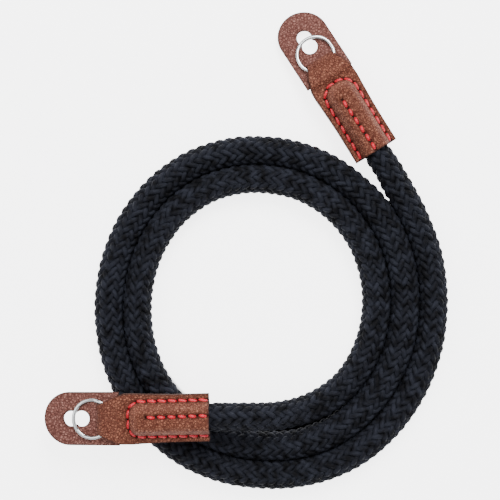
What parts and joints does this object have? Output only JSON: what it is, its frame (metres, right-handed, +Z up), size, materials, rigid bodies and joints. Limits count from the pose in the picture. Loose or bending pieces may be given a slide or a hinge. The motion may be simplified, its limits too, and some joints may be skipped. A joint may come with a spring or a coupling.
{
  "type": "rope camera strap",
  "caption": "Braided rope camera strap lying in a flat coil, with stitched leather ends, split rings and keyhole leather pads.",
  "frame": {"origin": "on the surface that the strap lies on, under the middle of the box round its leather ends, pads and rings", "axes": "+X to the right and +Y to the top of the coil as seen from above, along its longer side, +Z up"},
  "size_m": [0.1657, 0.1987, 0.0269],
  "materials": {
    "rope_fabric": "matte braided yarn",
    "sleeve_leather": "satin grained leather",
    "pad_leather": "matte grained leather",
    "ring_steel": "polished plating"
  },
  "bodies": {
    "strap": {"rope": "rope_fabric", "leather_end_a": "sleeve_leather", "leather_end_b": "sleeve_leather", "ring_pad_a": "pad_leather", "ring_pad_b": "pad_leather"},
    "ring_a": {"split_ring_a": "ring_steel"},
    "ring_b": {"split_ring_b": "ring_steel"}
  },
  "joints": [
    {"name": "ring_a_turn", "type": "hinge", "parent": "strap", "child": "ring_a", "pos_m": [0.03874, 0.07084, 0.00597], "axis": [-0.0792, 0.1278, 0.9886], "continuous": true},
    {"name": "ring_b_turn", "type": "hinge", "parent": "strap", "child": "ring_b", "pos_m": [-0.05213, -0.07834, 0.01807], "axis": [-0.1503, -0.0034, 0.9886], "continuous": true}
  ]
}
